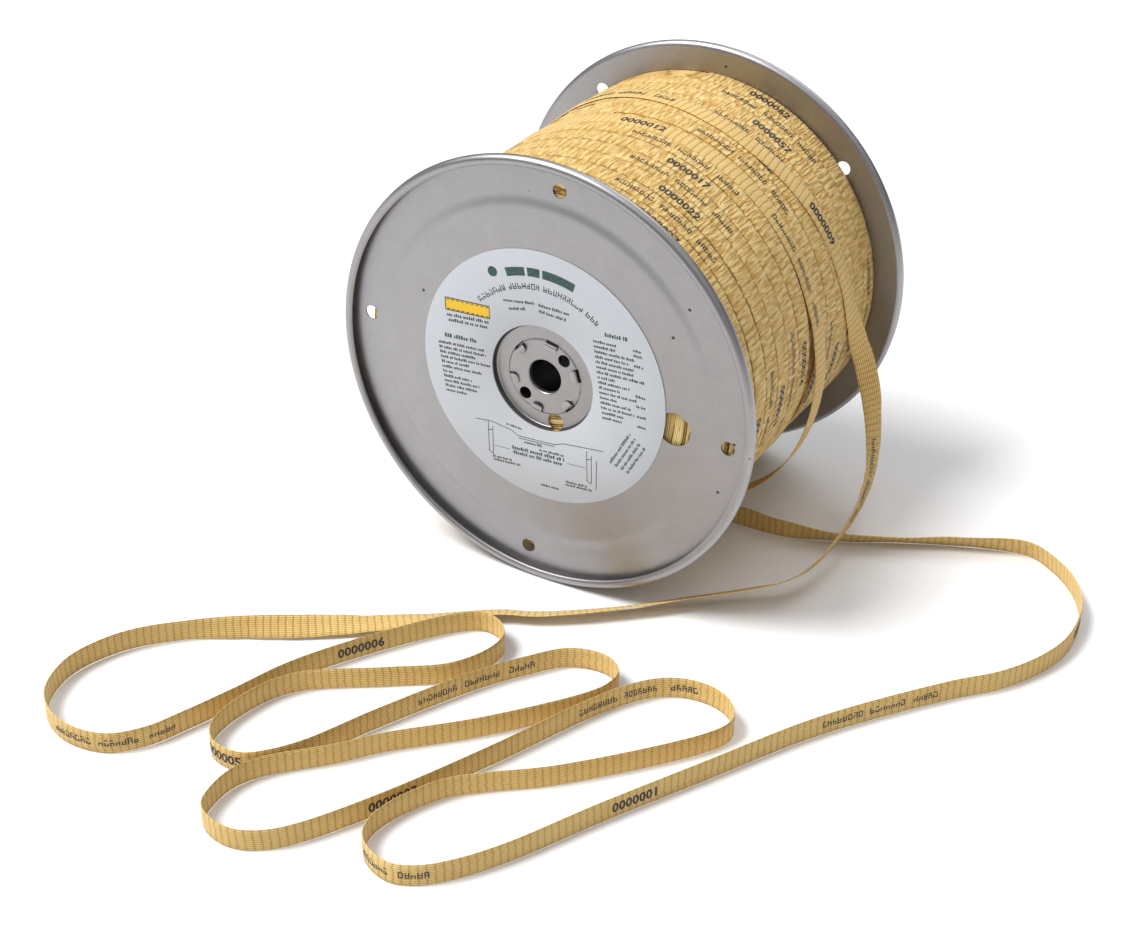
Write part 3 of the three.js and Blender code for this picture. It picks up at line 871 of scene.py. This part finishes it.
# The last turn as rows of (angle, height off the pack, distance along Y).
LAST_TURN = [
    (482, 0, 3.92), (465, 0, 4.5), (445, 0, 5.3), (420, 0, 6.5), (395, 0, 8.0), (376, 0.2, 9.6),
    (360, 2.5, 11.5),
    (345, 6.5, 13.5), (336, 9.5, 13.5), (326, 12.8, 13), (315, 15.2, 12.5), (305, 15.6, 12.8),
    (290, 14.2, 14.5), (270, 12.6, 18.5), (250, 9.8, 23.5), (230, 5.8, 29.5), (212, 1.8, 35.5),
    (200, 0.2, 39.5), (185, 0, 44.5), (165, 0, 49.5), (145, 0, 53), (125, 0, 54), (112, 0, 52),
    (100, 0, 47.8), (88, 0, 43.8), (75, 0, 40.6), (62, 0, 39.6), (52, 0, 41.6), (40, 0, 45.4),
    (28, 0, 49), (18, 0, 51.7), (8, 0, 56),
]


def last_turn_rows():
    """The last turn on the pack and slack below it, as places for a smooth run."""
    stops = []
    for row, following in zip(LAST_TURN, LAST_TURN[1:]):
        count = max(1, round((row[0] - following[0]) / 8))
        for k in range(count):
            stops.append([a + (b - a) * k / count for a, b in zip(row, following)])
    rows = []
    for degrees, off, along in stops + [LAST_TURN[-1]]:
        spot = ring_point(PACK_RADIUS / MM + 0.65 + off, degrees, along)
        rows.append((spot.x, spot.y, spot.z + AXIS_HEIGHT / MM, 0, 1, 0))
    return rows


# The free tape: rows of (x, y, z, width's direction) down to the floor, then rows of (x, y) where
# it stands on its edge, then rows of (x, y, lean in degrees) back under the reel.
DROP = [
    (117.1, 57.5, 141.5, 0, 1, 0), (118.4, 63.5, 127, 0.2, 0.98, 0.06),
    (119.8, 69.2, 112, 0.46, 0.88, 0.15), (122.2, 74.4, 98, 0.64, 0.75, 0.18),
    (124.4, 78.2, 84, 0.72, 0.66, 0.2), (126.8, 80.9, 69, 0.62, 0.77, 0.12),
    (128.8, 81.2, 55, 0.46, 0.9, 0), (131.3, 78.5, 43, 0.38, 0.85, -0.3),
    (133.8, 72.5, 33, 0.3, 0.72, -0.62), (137.3, 61, 26.6, 0.18, 0.5, -0.84),
    (140.2, 46.5, 22.5, 0.04, 0.3, -0.95), (142.8, 29, 20.2, -0.13, 0.2, -0.97),
    (144, 10, 18.6, -0.28, 0.14, -0.95), (143.8, -8, 16.6, -0.38, 0.22, -0.9),
    (142, -26, 14.4, -0.45, 0.34, -0.82), (134, -45, 11, -0.5, 0.6, -0.62),
    (117, -61, 8.5, -0.46, 0.72, -0.52), (92, -83, 7, -0.46, 0.72, -0.52),
    (66, -106, 5.5, -0.46, 0.72, -0.52), (38, -129, 5, -0.5, 0.75, -0.45),
    (18.8, -141.5, 4.5, -0.5, 0.75, -0.4), (1.8, -149.4, 4.5, -0.5, 0.75, -0.4),
    (-23.2, -169.4, 4.5, -0.5, 0.8, -0.3), (-55, -195.8, 4.5, -0.5, 0.85, 0.1),
    (-71, -208.5, 5.5, -0.47, 0.78, 0.42), (-87, -221, 6.5, -0.4, 0.65, 0.7),
    (-101, -230.5, 7, -0.3, 0.48, 0.88), (-116, -240, 7, -0.2, 0.3, 1),
]
LOOPS = [
    (-143, -260), (-165, -286), (-174, -318), (-164, -347), (-140, -361), (-113, -358),
    (-98, -343), (-88, -320), (-78, -292), (-66, -257), (-38, -208), (-12, -173.5),
    (0, -165), (12, -167), (21, -177), (21, -192), (10, -214),
    (-16, -234), (-54, -261), (-65, -276), (-70, -292), (-72, -308), (-70, -322),
    (-62, -332), (-51, -335), (-40, -333), (-30, -324), (-19, -308), (-1, -267), (27, -211),
    (42, -189), (57, -171), (71, -165), (84, -166), (93, -174), (93, -187),
    (86, -201), (50, -246), (12, -284), (-4, -304), (-17, -317), (-29, -330), (-37, -345),
    (-38, -361), (-34, -375), (-22, -382), (-7, -382), (7, -374), (18, -361), (40, -322),
    (68, -261), (90, -207), (100, -187), (113, -170), (126, -162), (141, -160),
    (154, -164), (163, -173), (165, -183), (158, -198), (105, -259),
    (76, -283), (62, -296), (53, -311), (47, -326), (45, -341), (49, -353), (60, -361),
    (73, -363), (86, -357), (98, -345), (113, -323), (138, -274), (168, -219),
]
RUN_BACK = [
    (204, -154, 0), (252, -90, 0), (272, -68, 0), (285, -46, 0), (292, -25, 0), (293, -3, 0),
    (288, 21, 0), (276, 41, 5), (259, 56, 12), (241, 64, 17), (203, 52, 35), (170, 36, 46),
    (137, 19, 38), (103, 9, 10), (82, 9, 0), (66, 9, 0),
]

FLOOR_GAP = 0.3
FLAT_THICKNESS = 0.7


def free_rows():
    """The whole free tape, from the pack to its cut end."""
    rows = list(DROP)
    for x, y, lean in [(x, y, 0) for x, y in LOOPS] + RUN_BACK:
        up = math.cos(math.radians(lean))
        down = math.sin(math.radians(lean))
        height = (TAPE_WIDTH * up + FLAT_THICKNESS * down) / 2 + FLOOR_GAP
        rows.append((x, y, height, 0.45 * (1 - up), -down, up))
    return rows


def make_wound_tape(weave):
    """The two layers of the winding that show, each one long run of tape."""
    level = PACK_RADIUS / MM
    bm = bmesh.new()
    top = helix(*TOP_ENDS, top_along, level + 0.63)
    add_ribbon(bm, top, 13.92, wander=0.22 * MM, seed=1.0)
    upper = finish_mesh(bm, "tape_upper_layer", weave, 60)
    bm = bmesh.new()
    under = helix(*UNDER_ENDS, under_along, level - 0.4)
    add_ribbon(bm, under, 13.3, wander=0.2 * MM, seed=5.0)
    first = helix(1080, 0, lambda degrees: -89.9 + 13.5 * degrees / 360, level - 0.4)
    add_ribbon(bm, first, 13.3, wander=0.2 * MM, seed=11.0)
    lower = finish_mesh(bm, "tape_lower_layer", weave, 60)
    return upper, lower, top, under


def make_pack_core(edges):
    """What is wound below the layers that show, set back where the flanges' hubs are pressed in."""
    inner, hub = 23.6, 33.7
    outer = PACK_RADIUS / MM - 0.75
    half = PACK_HALF / MM
    narrow = half - 2.1
    corners = [(inner, -narrow), (hub, -narrow), (hub + 0.3, -half), (outer, -half)]
    corners += [(radius, -along) for radius, along in reversed(corners)]
    bm = bmesh.new()
    wire = chain(bm, corners, closed=True)
    round_corners(bm, [wire[3], wire[4]], 0.3, 2)
    spin(bm, 192)
    lift(bm)
    return finish_mesh(bm, "tape_winding", edges)


def tape_from_pack():
    """The last turn and the free tape as one run of tape, parted where it leaves the pack."""
    turn_rows = last_turn_rows()
    whole = smooth_run(turn_rows + free_rows(), 1.05 * MM)
    leaves = Vector(free_rows()[0][:3]) * MM
    split = min(range(len(whole.places)), key=lambda i: (whole.places[i] - leaves).length)
    turn = Line(whole.places[: split + 1], whole.widths[: split + 1])
    free = Line(whole.places[split:], whole.widths[split:], turn.marks[-1])
    return turn, free


def make_loose_tape(name, weave, line):
    bm = bmesh.new()
    add_ribbon(bm, line, TAPE_WIDTH, scallop=0.08 * MM)
    return finish_mesh(bm, name, weave, 60)


# ---- Marks on the tape ----
MARK_LIFT = 0.46 * MM
DIGIT_HEIGHT = 5.7 * MM
SIGN_HEIGHT = 3.8
SIGN_THICKNESS = 0.6

# Where foot marks lie: (number, angle) on the wound layers, and metres along the loose tape.
TOP_FEET = [(12, 74.6), (17, 785.7), (22, 1500.6), (27, 2219.3)]
UNDER_FEET = [(52, 58.3), (57, 779.7), (62, 1507.7)]
NINE_FROM_END = 0.0557
ZERO_FROM_START = 2.730
TURN_FEET_BACK = (0.0, 0.5, 1.0, 1.5, 2.0, 2.48, 2.9)


def digit_mesh(text):
    """Flat numerals, centred, with their feet on v = 0 and their height along v."""
    curve = bpy.data.curves.new("numerals", "FONT")
    set_all(curve, body=text, size=DIGIT_HEIGHT * 1.42, offset=0.035 * DIGIT_HEIGHT)
    set_all(curve, align_x="CENTER", resolution_u=2)
    scratch = add_object("numerals", curve)
    bpy.context.view_layer.update()
    mesh = shown_mesh(scratch)
    bpy.data.objects.remove(scratch)
    bpy.data.curves.remove(curve)
    return mesh


def add_number(bm, number, line, middle):
    """Seven figures laid on the tape's printed face: x runs along it and y across it."""
    mesh = digit_mesh(f"{number:07d}")
    mesh.transform(Matrix.Translation((0, -DIGIT_HEIGHT / 2, 0)))
    before = len(bm.verts)
    bm.from_mesh(mesh)
    bpy.data.meshes.remove(mesh)
    bm.verts.ensure_lookup_table()
    for vertex in bm.verts[before:]:
        vertex.co = line.at(middle + vertex.co.x, vertex.co.y, MARK_LIFT)


def add_words(bm, line, middle, seed):
    """Three greeked words between two marks."""
    dice = random.Random(seed)
    for start, letters in ((-35, 8), (-6, 7), (21, 5)):
        at = start
        for _ in range(letters):
            wide = dice.uniform(2.0, 2.7)
            add_sign(bm, line, middle + at * MM, wide, dice)
            at += wide + 0.75


def add_sign(bm, line, start, wide, dice):
    """A made-up sign, laid flat on the tape."""
    bars = sign_bars(wide, SIGN_HEIGHT, SIGN_THICKNESS, dice, (0.0, 0.42), (0.42, 0.88))
    for across, up, width, height in bars:
        corners = [(across, up), (across + width, up), (across + width, up + height), (across, up + height)]
        spots = [line.at(start + x * MM, (y - SIGN_HEIGHT / 2) * MM, MARK_LIFT) for x, y in corners]
        bm.faces.new([bm.verts.new(spot) for spot in spots])


def add_mark(bm, half_feet, line, middle):
    """The number of a whole foot, or the words half way to the next."""
    if half_feet % 2 == 0:
        add_number(bm, half_feet // 2, line, middle)
    else:
        add_words(bm, line, middle, half_feet)


def between_anchors(anchors, number):
    """The angle of a foot mark, from those of its neighbours."""
    for (low, start), (high, end) in zip(anchors, anchors[1:]):
        if number <= high or (high, end) == anchors[-1]:
            return start + (end - start) * (number - low) / (high - low)
    return anchors[-1][1]


def mark_layer(bm, line, ends, feet, half_feet, shown):
    """Marks a wound layer, whose angles run evenly from one of its ends to the other."""
    first, last = ends
    for half in half_feet:
        degrees = between_anchors(feet, half / 2)
        if shown[0] < degrees < shown[1]:
            add_mark(bm, half, line, line.marks[0] + line.length * (first - degrees) / (first - last))


def make_marks(dark, top, under, turn, free):
    """Every number and word on the tape, as one piece."""
    bm = bmesh.new()
    mark_layer(bm, top, TOP_ENDS, TOP_FEET, range(23, 59), (126, 2510))
    mark_layer(bm, under, UNDER_ENDS, UNDER_FEET, range(96, 125), (-500, 1510))
    for half, back in enumerate(TURN_FEET_BACK, start=18):
        middle = turn.marks[-1] - NINE_FROM_END - back * FOOT
        if middle > turn.marks[0] + 0.036:
            add_mark(bm, half, turn, middle)
    for half in range(18):
        middle = free.marks[0] + ZERO_FROM_START - half / 2 * FOOT
        if free.marks[0] + 0.04 < middle < free.marks[-1] - 0.035:
            add_mark(bm, half, free, middle)
    return finish_mesh(bm, "tape_marks", dark)


# ---- Properties, operators and panel ----
def colour_property(name, description, default):
    return FloatVectorProperty(
        name=name, description=description, default=default, subtype="COLOR", size=3, min=0, max=1
    )


class TapeReelFinishes(PropertyGroup):
    """Colours of the reel's finishes."""

    steel: colour_property("Steel", "Sheet steel of flanges and barrel", (0.40, 0.39, 0.395))
    paper: colour_property("Paper", "Label stock", (0.56, 0.585, 0.62))
    # The tape's light and deep tones are its lit and shaded colours; the weave paints them on its raised
    # and sunk parts as painted light and shade.
    tape_light: colour_property("Tape light", "Raised yarns of the tape", (0.82, 0.62, 0.26))
    tape_mid: colour_property("Tape mid", "Main colour of the tape", (0.60, 0.36, 0.09))
    tape_deep: colour_property("Tape deep", "Sunk yarns of the tape", (0.34, 0.16, 0.035))
    dark_ink: colour_property("Dark ink", "Print on label and tape", (0.012, 0.012, 0.014))
    green_ink: colour_property("Green ink", "Headings on the label", (0.01, 0.06, 0.045))
    yellow_ink: colour_property("Yellow ink", "Blank box on the label", (0.85, 0.52, 0.02))


class TapeReelStage(PropertyGroup):
    """Sizes and strengths of the stage."""

    key_strength: FloatProperty(
        name="Key strength", description="Strength of the main light", default=3.5, min=0, subtype="FACTOR"
    )
    floor_colour: colour_property("Floor", "Colour of the floor", (0.86, 0.86, 0.87))
    lens: FloatProperty(name="Lens", description="Camera lens", default=67.08, min=10, unit="CAMERA")

class ReelOperator:
    """What the operators share: each builds its pieces from the panel's settings."""

    def execute(self, context):
        self.build(context.scene.tape_reel_finishes, context.scene.tape_reel_stage)
        return {"FINISHED"}


class REEL_OT_flanges(ReelOperator, Operator):
    """Makes both pressed flanges"""

    bl_idname = "reel.flanges"
    bl_label = "Flanges"

    def build(self, look, stage):
        steel = sheet_steel("sheet_steel", tuple(look.steel))
        front = make_flange("steel_front_flange", steel, 0, -1)
        put(front, "steel", "front_flange")
        rear = make_flange("steel_rear_flange", steel, REAR_TURN, 1)
        put(rear, "steel", "rear_flange")


class REEL_OT_barrel(ReelOperator, Operator):
    """Makes the barrel with its folded tongues"""

    bl_idname = "reel.barrel"
    bl_label = "Barrel"

    def build(self, look, stage):
        steel = sheet_steel("rubbed_steel", toned(look.steel, 0.95), 1.0)
        put(make_barrel(steel), "steel", "barrel")


class REEL_OT_label(ReelOperator, Operator):
    """Makes the paper label and its greeked print"""

    bl_idname = "reel.label"
    bl_label = "Label"

    def build(self, look, stage):
        paper = coated_paper(tuple(look.paper))
        put(make_label(paper), "paper", "label")
        dark = ink("black_ink", tuple(look.dark_ink))
        green = ink("green_ink", tuple(look.green_ink))
        yellow = ink("yellow_ink", tuple(look.yellow_ink), 0.05)
        for part in make_label_print(dark, green, yellow):
            put(part, "paper")


class REEL_OT_tape(ReelOperator, Operator):
    """Makes the wound tape, the free tape and the marks printed on them"""

    bl_idname = "reel.tape"
    bl_label = "Tape"

    def build(self, look, stage):
        tones = (tuple(look.tape_light), tuple(look.tape_mid), tuple(look.tape_deep))
        # The wound weave's dark border tone is painted shade where its courses meet.
        weave = woven_tape("wound_weave", *tones, toned(tones[2], 0.5), 0.85)
        loose_weave = woven_tape("loose_weave", *tones, tones[0], 0.2)
        edges = stacked_edges(tones[0], tones[1])
        core = make_pack_core(edges)
        put(core, "tape", "tape_pack")
        upper, lower, top, under = make_wound_tape(weave)
        put(upper, "tape", "tape_top_layer")
        put(lower, "tape")
        turn, line = tape_from_pack()
        turn_nodes = ("tape_last_course", "tape_slack_turn", "tape_leaving_turn")
        put(make_loose_tape("tape_last_turn", loose_weave, turn), "tape", *turn_nodes)
        free = make_loose_tape("free_tape", loose_weave, line)
        loops = [f"tape_loop_{i}" for i in (1, 2, 3, 4)]
        put(free, "tape", "tape_drop", *loops, "tape_end_run")
        marks = make_marks(ink("tape_ink", tuple(look.dark_ink), 0.15), top, under, turn, line)
        put(marks, "tape")


class REEL_OT_stage(ReelOperator, Operator):
    """Sets up the camera, the floor and the lights"""

    bl_idname = "reel.stage"
    bl_label = "Stage"

    def build(self, look, stage):
        add_camera(stage.lens)
        add_floor(tuple(stage.floor_colour))
        add_lights(stage.key_strength)


# The camera: metres, then degrees off +Y towards -X and below level.
VIEW_PLACE = (0.53226, -0.97633, 0.70728)
VIEW_AZIMUTH = 30.614
VIEW_ELEVATION = 31.582


def add_camera(lens):
    data = bpy.data.cameras.new("view")
    set_all(data, lens=lens, sensor_width=36.0, clip_end=20.0)
    camera = add_object("view", data)
    camera.location = VIEW_PLACE
    azimuth, elevation = math.radians(VIEW_AZIMUTH), math.radians(VIEW_ELEVATION)
    flat = math.cos(elevation)
    gaze = Vector((-math.sin(azimuth) * flat, math.cos(azimuth) * flat, -math.sin(elevation)))
    camera.rotation_euler = gaze.to_track_quat("-Z", "Y").to_euler()
    bpy.context.scene.camera = camera


def add_floor(colour):
    bm = bmesh.new()
    bmesh.ops.create_grid(bm, x_segments=1, y_segments=1, size=40.0)
    floor = finish_mesh(bm, "floor", pale_floor(colour))
    floor.location.z = -0.0002


def add_light(name, strength, spread, place):
    """A soft light from far off in the direction of place."""
    data = bpy.data.lights.new(name, "SUN")
    set_all(data, energy=strength, angle=math.radians(spread))
    light = add_object(name, data)
    light.location = place
    light.rotation_euler = Vector(place).to_track_quat("Z", "Y").to_euler()


def add_lights(key):
    add_light("key", key, 26.0, (-0.95, -0.75, 1.8))
    add_light("fill", key * 0.04, 60.0, (1.8, -0.9, 1.2))
    add_light("back", key * 0.22, 40.0, (0.1, 1.7, 1.9))
    g = Graph("studio", "worlds")
    _, _, height = g.parts(g.node("ShaderNodeTexCoord"))
    colour = g.ramp(height, [(0.3, (0.05, 0.07, 0.10)), (0.7, (1.0, 1.0, 1.0))])
    sky = g.node("ShaderNodeBackground", values={0: colour, 1: 0.6})
    g.node("ShaderNodeOutputWorld", values={0: sky})
    bpy.context.scene.world = g.owner
    bpy.context.scene.view_settings.view_transform = "Standard"


class REEL_PT_panel(Panel):
    """Lists the pieces of the reel"""

    bl_idname = "REEL_PT_panel"
    bl_label = "Tape Reel"
    bl_space_type = "VIEW_3D"
    bl_region_type = "UI"
    bl_category = "Tape Reel"

    def draw(self, context):
        layout = self.layout
        for name in TapeReelFinishes.__annotations__:
            layout.prop(context.scene.tape_reel_finishes, name)
        for name in TapeReelStage.__annotations__:
            layout.prop(context.scene.tape_reel_stage, name)
        for operator in OPERATORS:
            layout.operator(operator.bl_idname)


OPERATORS = (REEL_OT_stage, REEL_OT_tape, REEL_OT_flanges, REEL_OT_barrel, REEL_OT_label)
CLASSES = (TapeReelFinishes, TapeReelStage, *OPERATORS, REEL_PT_panel)


def register():
    for item in CLASSES:
        bpy.utils.register_class(item)
    bpy.types.Scene.tape_reel_finishes = bpy.props.PointerProperty(type=TapeReelFinishes)
    bpy.types.Scene.tape_reel_stage = bpy.props.PointerProperty(type=TapeReelStage)


def unregister():
    del bpy.types.Scene.tape_reel_stage
    del bpy.types.Scene.tape_reel_finishes
    for item in reversed(CLASSES):
        bpy.utils.unregister_class(item)


def main():
    register()
    for operator in OPERATORS:
        group, name = operator.bl_idname.split(".")
        getattr(getattr(bpy.ops, group), name)()


if __name__ == "__main__":
    main()
